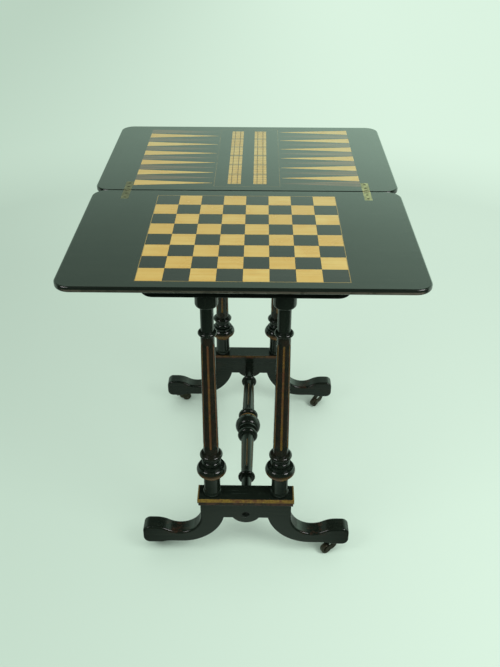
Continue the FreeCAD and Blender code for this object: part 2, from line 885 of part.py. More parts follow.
def castor_plate():
    head_top = horn_boss_bottom - rest_gap
    head_bottom = head_top - stem_head_height
    plate = turned([(0, head_bottom), (stem_head_radius, head_bottom), (stem_head_radius, head_top), (stem_radius, head_top),
                    (stem_radius, castor_plate_bottom), (castor_plate_radius, castor_plate_bottom),
                    (castor_plate_radius, foot_bottom), (0, foot_bottom)])
    hole = pointing_up(screw_hole(castor_screw_head, castor_screw_shank, castor_screw_length))
    return plate.cut([moved(hole, x, y, castor_plate_bottom) for x, y in castor_screw_places()])


def castor_screws():
    screw = pointing_up(wood_screw(castor_screw_head, castor_screw_shank, castor_screw_length))
    return Part.makeCompound([moved(screw, x, y, castor_plate_bottom) for x, y in castor_screw_places()])


def castor_horn():
    bridge = horn_boss_radius * horn_bridge_share
    drop = horn_boss_top - wheel_radius
    run = horn_trail + horn_eye_radius - bridge
    back = level_arc(bridge, horn_boss_top, run, sagitta_radius(run, drop))
    throat = (horn_trail * horn_throat_shares[0], wheel_radius + drop * horn_throat_shares[1])
    cheek = outline([
        (-bridge, horn_boss_bottom),
        (bridge * horn_throat_start_share, horn_boss_bottom),
        throat + (horn_trail - horn_eye_radius, wheel_radius),
        (horn_trail, wheel_radius - horn_eye_radius, horn_trail + horn_eye_radius, wheel_radius),
        back + (bridge, horn_boss_top),
        (-bridge, horn_boss_top),
    ])
    near = moved(cheek.extrude(V(0, horn_cheek, 0)), 0, cheek_inner)
    far = moved(cheek.extrude(V(0, horn_cheek, 0)), 0, -cheek_outer)
    crown = box(-bridge, bridge, -cheek_outer, cheek_outer, horn_boss_bottom, horn_boss_top)
    body = crown.fuse([near, far, disc(horn_boss_radius, horn_boss_bottom, horn_boss_top)]).removeSplitter()
    swivel = disc(stem_radius + running_gap, horn_boss_bottom - overrun, horn_boss_top + overrun)
    return body.cut([swivel, castor_axle()])


def castor_axle():
    half = cheek_outer + axle_head
    return Part.makeCylinder(axle_radius, 2 * half, V(horn_trail, -half, wheel_radius), along_y)


def castor_wheel():
    bore = axle_radius + running_gap
    half = wheel_width / 2
    web = half - wheel_recess
    tread = half - wheel_edge
    shoulder = wheel_radius - wheel_edge
    rim = shoulder - wheel_rim
    wheel = turned([
        (bore, -half), (wheel_hub_radius, -half), (wheel_hub_radius, -web), (rim, -web), (rim, -half), (shoulder, -half),
        swell(wheel_radius, -tread, shoulder, -half) + (wheel_radius, -tread),
        (wheel_radius, tread),
        swell(wheel_radius, tread, shoulder, half) + (shoulder, half),
        (rim, half), (rim, web), (wheel_hub_radius, web), (wheel_hub_radius, half), (bore, half),
    ])
    wheel.rotate(origin, along_x, quarter_turn)
    return moved(wheel, horn_trail, 0, wheel_radius)


def at_castor(shape, place, angle):
    end, side = place.split("_")
    x = base_x + (castor_reach if side == "right" else -castor_reach)
    y = base_y + (frame_half if end == "rear" else -frame_half)
    return moved(turned_about(shape, angle), x, y)


def at_foot(shape, place):
    end, side = place.split("_")
    handed = shape if side == "right" else shape.mirror(origin, along_x)
    return moved(handed, base_x, base_y + (frame_half if end == "rear" else -frame_half))


def fixed_castor_part(shape, place):
    return at_foot(moved(shape, castor_reach, 0), place)


def pieces():
    made = {
        "bed_board": bed_board(),
        "front_block": end_block(-1),
        "rear_block": end_block(1),
        "front_block_cap": block_cap(-1),
        "rear_block_cap": block_cap(1),
        "stretcher": stretcher(),
        "stretcher_bosses": Part.makeCompound([stretcher_boss(-1), stretcher_boss(1)]),
        "foot_dowels": foot_dowels(),
        "pivot_bush": pivot_bush(),
        "pivot_plate": pivot_plate(),
        "pivot_plate_screws": pivot_plate_screws(),
        "pivot_washer": pivot_washer(),
        "pivot_nut": pivot_nut(),
        "swivel_stop_peg": swivel_stop_peg(),
        "chess_leaf": chess_leaf(),
        "chess_light_squares": chess_squares(0),
        "chess_dark_squares": chess_squares(1),
        "chess_stringing": chess_stringing(),
        "games_leaf": games_leaf(),
        "light_points": points(0, inlay_depth),
        "dark_points": points(1, inlay_depth),
        "games_stringing": games_stringing(),
        "cribbage_tablets": cribbage_tablets(),
        "hinge_links": Part.makeCompound(at_hinges(hinge_link())),
    }
    for name, shape in (("hinge_plates", hinge_plate()), ("hinge_screws", hinge_screws()), ("hinge_pins", hinge_pin())):
        pair = Part.makeCompound(at_hinges(shape))
        made["chess_" + name] = pair
        made["games_" + name] = mirrored_y(pair)
    post = column()
    for place, (x, y) in column_places().items():
        made["column_" + place] = moved(post, x, y)
    right_foot = foot()
    plate, horn, axle, wheel = castor_plate(), castor_horn(), castor_axle(), castor_wheel()
    for place, angle in castor_angles.items():
        made["foot_" + place] = at_foot(right_foot, place)
        made["castor_plate_" + place] = fixed_castor_part(plate, place)
        made["castor_horn_" + place] = at_castor(horn, place, angle)
        made["castor_axle_" + place] = at_castor(axle, place, angle)
        made["castor_wheel_" + place] = at_castor(wheel, place, angle)
    screws = castor_screws()
    made["castor_screws"] = Part.makeCompound([fixed_castor_part(screws, place) for place in castor_angles])
    return made


os.makedirs("parts", exist_ok=True)
for name, shape in pieces().items():
    shape.exportStep("parts/" + name + ".step")
    print(name, len(shape.Solids), "solids", round(shape.Volume), "cubic mm", "valid" if shape.isValid() else "not valid")
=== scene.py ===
import math
import bpy
from mathutils import Matrix, Vector

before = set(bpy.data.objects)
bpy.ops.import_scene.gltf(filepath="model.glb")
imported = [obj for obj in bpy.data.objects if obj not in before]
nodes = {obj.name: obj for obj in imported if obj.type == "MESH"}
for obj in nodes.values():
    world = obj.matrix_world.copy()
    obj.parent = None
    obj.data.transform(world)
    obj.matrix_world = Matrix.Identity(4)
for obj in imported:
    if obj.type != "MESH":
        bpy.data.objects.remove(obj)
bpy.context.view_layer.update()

ends = ("front_left", "front_right", "rear_left", "rear_right")

# places of the table that the finishes refer to, in metres
table = {
    "baseX": 0.005,
    "baseY": -0.11215,
    "frameHalf": 0.2765,
    "columnHalf": 0.07375,
    "leafHalfX": 0.3425,
    "leafDepth": 0.445,
    "foldGapHalf": 0.00015,
}
print("frame loaded:", len(nodes), "nodes")


# camera at the photograph's viewpoint
camera = {
    "place": (0.02977, -1.67296, 1.41473),
    "yaw": -0.74,
    "pitch": 32.73,
    "roll": 0.14,
    "lens": 42.91,
    "sensor": 36.0,
}


def addCamera():
    yaw, pitch, roll = (math.radians(camera[k]) for k in ("yaw", "pitch", "roll"))
    forward = Vector((math.sin(yaw) * math.cos(pitch), math.cos(yaw) * math.cos(pitch), -math.sin(pitch)))
    level = Vector((math.cos(yaw), -math.sin(yaw), 0))
    upright = level.cross(forward)
    right = level * math.cos(roll) + upright * math.sin(roll)
    up = upright * math.cos(roll) - level * math.sin(roll)
    data = bpy.data.cameras.new("view")
    data.lens = camera["lens"]
    data.sensor_width = camera["sensor"]
    eye = bpy.data.objects.new("view", data)
    bpy.context.scene.collection.objects.link(eye)
    turn = Matrix((right, up, -forward)).transposed()
    eye.matrix_world = Matrix.Translation(camera["place"]) @ turn.to_4x4()
    bpy.context.scene.camera = eye


addCamera()
bpy.context.scene.view_settings.view_transform = "Standard"
print("camera set")


class Wire:
    # one socket of a node tree; sums and products of wires add the Math nodes they need
    def __init__(self, tree, socket=None):
        self.tree = tree
        self.socket = socket

    def node(self, kind, settings=None, sockets=None, out=0):
        made = self.tree.nodes.new(kind)
        for name, value in (settings or {}).items():
            setattr(made, name, value)
        for name, value in (sockets or {}).items():
            if isinstance(value, Wire):
                self.tree.links.new(value.socket, made.inputs[name])
            else:
                made.inputs[name].default_value = value
        return Wire(self.tree, made.outputs[out] if made.outputs else None)

    def maths(self, operation, first, second=0.0):
        return self.node("ShaderNodeMath", {"operation": operation}, {0: first, 1: second})

    def __add__(self, other):
        return self.maths("ADD", self, other)

    def __radd__(self, other):
        return self.maths("ADD", other, self)

    def __sub__(self, other):
        return self.maths("SUBTRACT", self, other)

    def __rsub__(self, other):
        return self.maths("SUBTRACT", other, self)

    def __mul__(self, other):
        return self.maths("MULTIPLY", self, other)

    def __rmul__(self, other):
        return self.maths("MULTIPLY", other, self)

    def __truediv__(self, other):
        return self.maths("DIVIDE", self, other)

    def __abs__(self):
        return self.maths("ABSOLUTE", self)

    def root(self):
        return self.maths("SQRT", self)

    def sign(self):
        return self.maths("SIGN", self)

    def angle(self, across):
        return self.maths("ARCTAN2", self, across)

    def cosine(self):
        return self.maths("COSINE", self)

    def whole(self):
        return self.maths("FLOOR", self)

    def nearest(self):
        return (self + 0.5).whole()

    def larger(self, other):
        return self.maths("MAXIMUM", self, other)

    def fade(self, low, high, start=0.0, end=1.0):
        # smooth step from start at low to end at high
        sockets = {"Value": self, "From Min": low, "From Max": high, "To Min": start, "To Max": end}
        return self.node("ShaderNodeMapRange", {"interpolation_type": "SMOOTHSTEP"}, sockets)

    def between(self, low, high, soft):
        return self.fade(low - soft, low + soft) * self.fade(high - soft, high + soft, 1.0, 0.0)


def mixed(mask, below, above):
    return mask.node("ShaderNodeMix", {"data_type": "RGBA"}, {0: mask, 6: below, 7: above}, 2)


def shade(red, green, blue):
    return (red, green, blue, 1.0)


# streaks of wood, by repeats in a metre across and along the grain
fibre = {
    "across": 150.0,
    "along": 5.0,
    "detail": 5.0,
    "rough": 0.6,
    "turn": 0.4,
}
noiseMean = 0.5


class Finish:
    # a surface in the making: its places, its noises and, at the end, its shader
    def __init__(self, name):
        self.material = bpy.data.materials.new(name)
        self.material.use_nodes = True
        self.tree = self.material.node_tree
        self.tree.nodes.clear()
        self.start = Wire(self.tree)
        self.place = self.start.node("ShaderNodeTexCoord", out="Object")
        self.x = self.axis(0)
        self.y = self.axis(1)
        self.z = self.axis(2)

    def axis(self, index):
        return self.start.node("ShaderNodeSeparateXYZ", None, {"Vector": self.place}, out=index)

    def stretched(self, scale):
        return self.start.node("ShaderNodeMapping", None, {"Vector": self.place, "Scale": scale})

    def noise(self, scale, detail=3.0, rough=0.55, stretch=None, turn=0.0):
        where = self.stretched(stretch) if stretch else self.place
        settings = {"Vector": where, "Scale": scale, "Detail": detail, "Roughness": rough, "Distortion": turn}
        return self.start.node("ShaderNodeTexNoise", None, settings)

    def grain(self, along, fine=1.0):
        # fine streaks that run along one axis of the board
        stretch = [fibre["across"] * fine] * 3
        stretch["xyz".index(along)] = fibre["along"] * fine
        return self.noise(1.0, fibre["detail"], fibre["rough"], stretch, fibre["turn"])

    def done(self, colour, rough, height=None, depth=0.0002, metal=0.0, coat=0.0, coatRough=0.08, sheen=0.5):
        sockets = {"Base Color": colour, "Roughness": rough, "Metallic": metal, "Coat Weight": coat}
        sockets["Coat Roughness"] = coatRough
        sockets["Specular IOR Level"] = sheen
        if height is not None:
            bump = {"Height": height, "Strength": 1.0, "Distance": depth}
            sockets["Normal"] = self.start.node("ShaderNodeBump", None, bump)
        surface = self.start.node("ShaderNodeBsdfPrincipled", None, sockets)
        self.start.node("ShaderNodeOutputMaterial", None, {"Surface": surface})
        return self.material


# black polish over wood, worn brown at the edges and gilded in places
polish = {
    "deep": shade(0.0055, 0.0095, 0.0065),
    "thin": shade(0.0105, 0.0148, 0.0100),
    # painted shade: darker copies of the black polish, for the bed board in the shade under the leaves; the
    # stretcher bosses take the same darker black
    "paintedShadeDeep": shade(0.0030, 0.0048, 0.0034),
    "paintedShadeThin": shade(0.0060, 0.0080, 0.0060),
    "streakFade": (0.3, 0.75),
    "streakHeight": 0.25,
    "poreFine": 3.2,
    "poreFade": (0.60, 0.72),
    "poreDepth": 0.00012,
    "rough": 0.17,
    "smear": 0.10,
    "smearNoise": (9.0, 4.0, 0.6),
    "dust": 0.012,
    "dustNoise": (140.0, 2.0, 0.5),
    "dustFade": (0.55, 0.8),
    "rubbed": shade(0.055, 0.021, 0.011),
    # lip: rubbed wood on the leaves' lower lip, with a painted reflection of the floor in it
    "lip": shade(0.100, 0.087, 0.063),
    "patchNoise": (55.0, 4.0, 0.65),
    "patchy": (0.30, 0.62),
    "rubbedRough": 0.18,
}
gilding = {
    "bright": shade(0.34, 0.225, 0.035),
    "dull": shade(0.150, 0.078, 0.016),
    "bole": shade(0.085, 0.024, 0.012),
    "rough": 0.46,
    "metal": 0.45,
    "flakeNoise": (240.0, 3.0, 0.6),
    "flakeFade": (0.25, 0.75),
    "lossScale": 38.0,
    "lossNoise": (4.0, 0.7),
    "loss": (0.44, 0.68),
    "boleShown": 0.85,
}


def polished(name, along, wear=None, gilt=None, giltTone=0.5, sheen=0.3, coat=0.0, matt=0.0,
             rubbed=polish["rubbed"], black=(polish["deep"], polish["thin"]),
             lossScale=gilding["lossScale"], loss=gilding["loss"],
             patchy=polish["patchy"], depth=polish["poreDepth"]):
    # wear and gilt are functions that give a mask on the finish
    finish = Finish(name)
    streak = finish.grain(along)
    pores = finish.grain(along, polish["poreFine"]).fade(*polish["poreFade"])
    smear = finish.noise(*polish["smearNoise"])
    dust = finish.noise(*polish["dustNoise"]).fade(*polish["dustFade"])
    colour = mixed(streak.fade(*polish["streakFade"]), *black)
    rough = polish["rough"] + matt + (smear - noiseMean) * polish["smear"] + dust * polish["dust"]
    if wear:
        patch = finish.noise(*polish["patchNoise"]).fade(*patchy)
        bare = wear(finish) * patch
        colour = mixed(bare, colour, rubbed)
        rough = rough + bare * polish["rubbedRough"]
    metal = 0.0
    if gilt:
        mask = gilt(finish)
        flake = finish.noise(*gilding["flakeNoise"])
        lost = finish.noise(lossScale, *gilding["lossNoise"]).fade(*loss)
        gold = mixed(flake.fade(*gilding["flakeFade"]) * giltTone, gilding["dull"], gilding["bright"])
        gold = mixed(lost * gilding["boleShown"], gold, gilding["bole"])
        colour = mixed(mask, colour, gold)
        rough = rough * (1.0 - mask) + mask * gilding["rough"]
        metal = mask * (1.0 - lost) * gilding["metal"]
    height = streak * polish["streakHeight"] - pores
    return finish.done(colour, rough, height, depth, metal, coat, sheen=sheen)


def dress(material, *names):
    for name in names:
        slots = nodes[name].data.materials
        slots.clear()
        slots.append(material)


def atEnds(kind):
    return [kind + "_" + end for end in ends]


leafEdge = {
    "face": (-0.0052, -0.0006),
    "lip": (0.7132, 0.7150),
    "rubbed": 0.62,
    "corner": (-0.10, -0.02),
    "cornerWearAndReflection": 0.35,
    "rightward": (-0.25, 0.30, 0.75, 1.25),
    "grainDepth": 0.00003,
}


def leafLipWearAndReflection(finish):
    # the lower lip of a leaf's outer edge is painted pale brown-grey, partly rubbed wood and partly a painted
    # reflection of the floor in its lower round, most of all at its round corners and to the right
    side = abs(finish.x) - table["leafHalfX"]
    end = abs(finish.y) - (table["leafDepth"] + table["foldGapHalf"])
    edge = side.larger(end).fade(*leafEdge["face"])
    corner = (side + end).fade(*leafEdge["corner"])
    amount = (corner * leafEdge["cornerWearAndReflection"] + leafEdge["rubbed"]) * finish.x.fade(*leafEdge["rightward"])
    return edge * amount * finish.z.fade(*leafEdge["lip"], 1.0, 0.0)


def columnRadius(finish):
    # distance from the nearest column's own axis
    across = abs(finish.x - table["baseX"]) - table["columnHalf"]
    deep = abs(finish.y - table["baseY"]) - table["frameHalf"]
    return (across * across + deep * deep).root()


# each end of a shaft is its place along the axis and its radius there
column = {
    "shaftLow": (0.289, 0.0167),
    "shaftHigh": (0.587, 0.0136),
    "flutes": 6,
    "firstFlute": math.radians(-88.0),
    "fluteSide": (0.46, 0.84),
    "fluteCut": (0.0001, 0.0005),
    "fluteMargin": 0.011,
    "fluteEnd": 0.003,
    "fluteGilt": 0.9,
    "fillet": (0.2245, 0.2402),
    "filletRadius": (0.0190, 0.0194),
    "bulbFoot": (0.2240, 0.2245),
    "bulbFade": (0.2395, 0.2480),
    "bulbRadius": (0.0225, 0.0240),
    "bulbGilt": 0.55,
    "soft": 0.0003,
    "rubbed": 0.20,
    "rubbedFace": (-0.0006, -0.0001),
    "rubbedEnd": 0.01,
}


def tapered(place, low, high):
    # radius of a turned shaft that narrows evenly from its low end to its high end
    slope = (high[1] - low[1]) / (high[0] - low[0])
    return (place - low[0]) * slope + low[1]


def columnFlute(finish):
    # one at the middle of a flute, by the angle round the column it is cut in
    across = finish.x - table["baseX"]
    deep = finish.y - table["baseY"]
    across = across - across.sign() * table["columnHalf"]
    deep = deep - deep.sign() * table["frameHalf"]
    return ((deep.angle(across) - column["firstFlute"]) * column["flutes"]).cosine()


def columnGilt(finish):
    low, high = column["shaftLow"], column["shaftHigh"]
    margin, soft = column["fluteMargin"], column["soft"]
    radius = columnRadius(finish)
    depth = tapered(finish.z, low, high) - radius
    flute = columnFlute(finish).fade(*column["fluteSide"]) * depth.fade(*column["fluteCut"])
    flute = flute * finish.z.between(low[0] + margin, high[0] - margin, column["fluteEnd"])
    ring = finish.z.between(*column["fillet"], soft) * radius.fade(*column["filletRadius"])
    bulb = finish.z.between(column["fillet"][0], column["bulbFade"][0], soft)
    bulb = bulb.larger(finish.z.fade(*column["bulbFade"], column["bulbGilt"], 0.0))
    bulb = bulb * radius.fade(*column["bulbRadius"]) * finish.z.fade(*column["bulbFoot"])
    return (flute * column["fluteGilt"]).larger(ring).larger(bulb)


def columnWear(finish):
    low, high = column["shaftLow"], column["shaftHigh"]
    proud = (columnRadius(finish) - tapered(finish.z, low, high)).fade(*column["rubbedFace"])
    return proud * finish.z.between(low[0], high[0], column["rubbedEnd"]) * column["rubbed"]


cap = {
    "half": 0.0230,
    "length": 0.106,
    "between": (-0.21, -0.01),
    "frontBand": (0.1635, 0.1726),
    "frontSoft": 0.0005,
    "rearBand": (0.1702, 0.1736),
    "rearSoft": 0.0006,
    "rearGilt": 0.2,
    "giltFace": (-0.0026, -0.0016),
    "endFace": (-0.0038, -0.0026),
    "endTop": (0.1690, 0.1700),
    "endGilt": 0.7,
    "frontWear": (0.1540, 0.1640),
    "rearWear": (0.1670, 0.1745),
    "wearSoft": 0.0008,
    "wearFace": (-0.005, -0.001),
}


def capLength(finish):
    # nought on the short outer faces of a cap, less than nought between them
    return abs(finish.x - table["baseX"]) - cap["length"]


def capEdge(finish):
    # nought on the outer faces of a cap, less than nought inside them
    deep = abs(abs(finish.y - table["baseY"]) - table["frameHalf"]) - cap["half"]
    return capLength(finish).larger(deep)


def capGilt(finish):
    rear = finish.y.fade(*cap["between"])
    front = finish.z.between(*cap["frontBand"], cap["frontSoft"]) * (1.0 - rear)
    band = front + finish.z.between(*cap["rearBand"], cap["rearSoft"]) * rear * cap["rearGilt"]
    short = capLength(finish).fade(*cap["endFace"])
    end = short * finish.z.fade(*cap["endTop"]) * (1.0 - rear) * cap["endGilt"]
    return (band * capEdge(finish).fade(*cap["giltFace"])).larger(end)


def capWear(finish):
    rear = finish.y.fade(*cap["between"])
    front = finish.z.between(*cap["frontWear"], cap["wearSoft"]) * (1.0 - rear)
    band = front + finish.z.between(*cap["rearWear"], cap["wearSoft"]) * rear
    return capEdge(finish).fade(*cap["wearFace"]) * band


stretcher = {
    "axisZ": 0.1360,
    "bulbRing": (0.0148, 0.0213),
    "ringRadius": (0.0228, 0.0232),
    "soft": 0.0003,
    "shaftLow": (0.046, 0.0155),
    "shaftHigh": (0.1815, 0.0130),
    "fluteCut": (0.0005, 0.0012),
    "fluteMargin": 0.011,
    "fluteEnd": 0.003,
    "fluteGilt": 0.4,
}


def stretcherGilt(finish):
    rearward = finish.y - table["baseY"]
    along = abs(rearward)
    across = finish.x - table["baseX"]
    up = finish.z - stretcher["axisZ"]
    radius = (across * across + up * up).root()
    low, high = stretcher["shaftLow"], stretcher["shaftHigh"]
    margin = stretcher["fluteMargin"]
    flute = (tapered(along, low, high) - radius).fade(*stretcher["fluteCut"])
    flute = flute * along.between(low[0] + margin, high[0] - margin, stretcher["fluteEnd"])
    ring = rearward.between(*stretcher["bulbRing"], stretcher["soft"]) * radius.fade(*stretcher["ringRadius"])
    return (flute * stretcher["fluteGilt"]).larger(ring)


rubbedPatch = {
    "noise": (16.0, 2.0, 0.5),
    "fade": (0.52, 0.75),
}


def edgeWear(amount):
    def wear(finish):
        return finish.noise(*rubbedPatch["noise"]).fade(*rubbedPatch["fade"]) * amount
    return wear


foot = {
    "hollow": (0.132, 0.178),
    "hollowSoft": 0.016,
    "hollowTop": (0.059, 0.066),
    "scuffNoise": (70.0, 3.0, 0.6),
    "scuffFade": (0.46, 0.60),
    "scuffed": 0.5,
    "rubbed": 0.12,
}


def footWear(finish):
    # scuffs in the hollow on top of a foot
    hollow = abs(finish.x - table["baseX"]).between(*foot["hollow"], foot["hollowSoft"])
    hollow = hollow * finish.z.fade(*foot["hollowTop"])
    scuff = finish.noise(*foot["scuffNoise"]).fade(*foot["scuffFade"]) * hollow * foot["scuffed"]
    return scuff.larger(edgeWear(foot["rubbed"])(finish))


leafLook = {"sheen": 0.6, "coat": 0.15, "rubbed": polish["lip"], "patchy": (0.12, 0.55)}
leafPolish = polished("leafPolish", "x", leafLipWearAndReflection, depth=leafEdge["grainDepth"], **leafLook)
dress(leafPolish, "chess_leaf", "games_leaf")
# painted shade on the bed board under the leaves' overhang; the bosses are dressed with the same darker black
paintedShadeBlack = (polish["paintedShadeDeep"], polish["paintedShadeThin"])
dress(polished("bedPolishPaintedShade", "y", edgeWear(0.05), sheen=0.05, black=paintedShadeBlack), "bed_board")
turned = {"sheen": 0.30, "coat": 0.12, "matt": -0.04, "lossScale": 17.0, "loss": (0.34, 0.60)}
dress(polished("columnPolish", "z", columnWear, columnGilt, 0.5, **turned), *atEnds("column"))
dress(polished("capPolish", "x", capWear, capGilt, 1.0), "front_block_cap", "rear_block_cap")
dress(polished("blockPolish", "x", edgeWear(0.14)), "front_block", "rear_block")
dress(polished("footPolish", "x", footWear), *atEnds("foot"))
stretcherLook = {"giltTone": 0.4, "sheen": 0.22, "coat": 0.08}
dress(polished("stretcherPolish", "y", edgeWear(0.35), stretcherGilt, **stretcherLook), "stretcher")
dress(polished("bossPolish", "y", edgeWear(0.30), sheen=0.15, black=paintedShadeBlack), "stretcher_bosses")
print("polished wood dressed")


# inlays: boxwood, black and dark brown woods let into the leaves
boxwood = {
    "pale": shade(0.64, 0.475, 0.132),
    "honey": shade(0.55, 0.335, 0.060),
    "line": shade(0.33, 0.18, 0.035),
    "grime": shade(0.02, 0.02, 0.015),
    "streakFine": 0.8,
    "streakShare": 0.55,
    "cloudShare": 0.45,
    "cloudNoise": (22.0, 3.0, 0.5),
    "blend": (0.3, 0.7),
    "perTile": 0.65,
    "lineFine": 2.6,
    "lineFade": (0.62, 0.75),
    "lineShown": 0.5,
    "inkShown": 0.9,
    "grimeScale": 30.0,
    "grimeFade": (0.2, 0.8),
    "grimeSpread": 1.15,
    "rough": 0.26,
    "smear": 0.12,
    "depth": 0.00005,
    "coat": 0.3,
}
# a grid of tiles is its corner and the pitch of its columns and rows
squareTiles = ((-0.1944, -0.41955), (0.0486, 0.0486))
pointTiles = ((-0.4, 0.02825), (0.8, 0.0324))
tabletTiles = ((-0.0445, 0.0384), (0.045, 0.0614))


def perTile(finish, corner, pitch):
    # one random number for each tile of a grid
    across = ((finish.x - corner[0]) / pitch[0]).whole()
    row = ((finish.y - corner[1]) / pitch[1]).whole()
    seed = finish.start.node("ShaderNodeCombineXYZ", None, {"X": across, "Y": row})
    return finish.start.node("ShaderNodeTexWhiteNoise", {"noise_dimensions": "3D"}, {"Vector": seed})


cribbage = {
    "rows": (0.02275, 0.03625),
    "rowLine": (0.0004, 0.0013),
    "firstHole": 0.04565,
    "holePitch": 0.0114,
    "holeLine": (0.06, 0.15, 0.7, 0.0),
    "tabletPitch": 0.0614,
    "jointShift": 0.031,
    "jointLine": (0.024, 0.048),
    "middle": (0.22255, 0.22275),
    "middleGap": 0.0014,
    "ink": shade(0.080, 0.045, 0.016),
}


def scribed(finish):
    # fine lines along and across the rows of peg holes, and at the joints of the tablets
    inner, outer = cribbage["rows"]
    fromPair = abs(abs(finish.x) - (inner + outer) / 2)
    along = abs(fromPair - (outer - inner) / 2).fade(*cribbage["rowLine"], 1.0, 0.0)
    far = finish.y.fade(*cribbage["middle"]) * cribbage["middleGap"]
    tablet = (finish.y - far - cribbage["firstHole"] + cribbage["holePitch"] / 2) / cribbage["tabletPitch"]
    place = (tablet - tablet.whole()) * (cribbage["tabletPitch"] / cribbage["holePitch"]) - 0.5
    across = abs(place - place.nearest()).fade(*cribbage["holeLine"])
    joint = abs(tablet - tablet.nearest() + cribbage["jointShift"]).fade(*cribbage["jointLine"], 1.0, 0.0)
    return along.larger(across).larger(joint)


def boxwoodFinish(name, along, tiles=None, tone=1.0, lines=None):
    finish = Finish(name)
    streak = finish.grain(along, boxwood["streakFine"])
    cloud = finish.noise(*boxwood["cloudNoise"])
    mask = (streak * boxwood["streakShare"] + cloud * boxwood["cloudShare"]).fade(*boxwood["blend"])
    colour = mixed(mask, boxwood["pale"], boxwood["honey"])
    if tiles:
        colour = mixed(perTile(finish, *tiles) * boxwood["perTile"], colour, boxwood["honey"])
    fine = finish.grain(along, boxwood["lineFine"]).fade(*boxwood["lineFade"])
    colour = mixed(fine * boxwood["lineShown"], colour, boxwood["line"])
    if lines:
        colour = mixed(lines(finish) * boxwood["inkShown"], colour, cribbage["ink"])
    if tone < 1.0:
        limits = (*boxwood["grimeFade"], 1.0 - tone, boxwood["grimeSpread"] - tone)
        colour = mixed(finish.noise(boxwood["grimeScale"]).fade(*limits), colour, boxwood["grime"])
    rough = boxwood["rough"] + (cloud - noiseMean) * boxwood["smear"]
    return finish.done(colour, rough, streak, boxwood["depth"], 0.0, boxwood["coat"])


dress(boxwoodFinish("boxwoodSquares", "x", squareTiles), "chess_light_squares")
dress(boxwoodFinish("boxwoodPoints", "x", pointTiles), "light_points")
dress(boxwoodFinish("boxwoodTablets", "y", tabletTiles, lines=scribed), "cribbage_tablets")
dress(boxwoodFinish("boxwoodLine", "x", None, 0.55), "chess_stringing")
dress(boxwoodFinish("boxwoodFrameLine", "y", None, 0.25), "games_stringing")

darkWood = {
    "blackDeep": shade(0.0055, 0.0055, 0.0055),
    "blackThin": shade(0.014, 0.013, 0.012),
    "brownDeep": shade(0.058, 0.033, 0.017),
    "brownThin": shade(0.150, 0.084, 0.046),
    "streakFade": (0.3, 0.72),
    "perTile": 0.5,
    "rough": 0.19,
    "smear": 0.12,
    "smearScale": 12.0,
    "depth": 0.00006,
    "coat": 0.25,
}


def darkInlay(name, along, deep, thin, tiles=None):
    finish = Finish(name)
    streak = finish.grain(along)
    colour = mixed(streak.fade(*darkWood["streakFade"]), deep, thin)
    if tiles:
        colour = mixed(perTile(finish, *tiles) * darkWood["perTile"], colour, thin)
    rough = darkWood["rough"] + (finish.noise(darkWood["smearScale"]) - noiseMean) * darkWood["smear"]
    return finish.done(colour, rough, streak, darkWood["depth"], 0.0, darkWood["coat"])


blackSquares = darkInlay("blackSquares", "x", darkWood["blackDeep"], darkWood["blackThin"], squareTiles)
dress(blackSquares, "chess_dark_squares")
dress(darkInlay("brownPoints", "x", darkWood["brownDeep"], darkWood["brownThin"]), "dark_points")
print("inlays dressed")


# metals and small parts; paintedLeftShade is how much darker the brass on the left half of the table is
# painted, painted shade where less light falls
metals = {
    "hingeBrass": {
        "bright": shade(0.58, 0.51, 0.26),
        "tarnish": shade(0.38, 0.34, 0.18),
        "spots": shade(0.06, 0.052, 0.030),
        "rough": 0.30,
        "metal": 0.85,
        "paintedLeftShade": 0.6,
    },
    "screwBrass": {
        "bright": shade(0.16, 0.13, 0.06),
        "tarnish": shade(0.08, 0.07, 0.04),
        "spots": shade(0.02, 0.018, 0.012),
        "rough": 0.4,
        "metal": 0.9,
    },
    "castorBrass": {
        "bright": shade(0.056, 0.053, 0.028),
        "tarnish": shade(0.028, 0.027, 0.016),
        "spots": shade(0.009, 0.009, 0.007),
        "rough": 0.30,
        "metal": 0.7,
    },
    "dullIron": {
        "bright": shade(0.10, 0.097, 0.09),
        "tarnish": shade(0.06, 0.052, 0.045),
        "spots": shade(0.05, 0.022, 0.012),
        "rough": 0.42,
        "metal": 0.85,
    },
    "wheelBrass": {
        "bright": shade(0.058, 0.055, 0.030),
        "tarnish": shade(0.030, 0.029, 0.018),
        "spots": shade(0.009, 0.009, 0.007),
        "rough": 0.28,
        "metal": 0.6,
    },
}
tarnish = {
    "cloudNoise": (90.0, 4.0, 0.6),
    "cloudFade": (0.35, 0.65),
    "cloudRough": 0.2,
    "leftShadeFade": (-0.2, 0.2),
    "spotNoise": (320.0, 3.0, 0.6),
    "spotFade": (0.55, 0.70),
    "spotShown": 0.55,
    "spotDull": 0.6,
    "brushNoise": (1.0, 3.0, 0.5, (2400.0, 300.0, 300.0)),
    "depth": 0.00003,
}


def agedMetal(name):
    look = metals[name]
    finish = Finish(name)
    cloud = finish.noise(*tarnish["cloudNoise"])
    colour = mixed(cloud.fade(*tarnish["cloudFade"]), look["bright"], look["tarnish"])
    if "paintedLeftShade" in look:
        # painted shade: the hinge brass is darker towards the left
        colour = mixed(finish.x.fade(*tarnish["leftShadeFade"], look["paintedLeftShade"], 0.0), colour, look["spots"])
    dark = finish.noise(*tarnish["spotNoise"]).fade(*tarnish["spotFade"])
    colour = mixed(dark * tarnish["spotShown"], colour, look["spots"])
    brushed = finish.noise(*tarnish["brushNoise"])
    rough = look["rough"] + cloud * tarnish["cloudRough"]
    metal = look["metal"] * (1.0 - dark * tarnish["spotDull"])
    return finish.done(colour, rough, brushed, tarnish["depth"], metal)


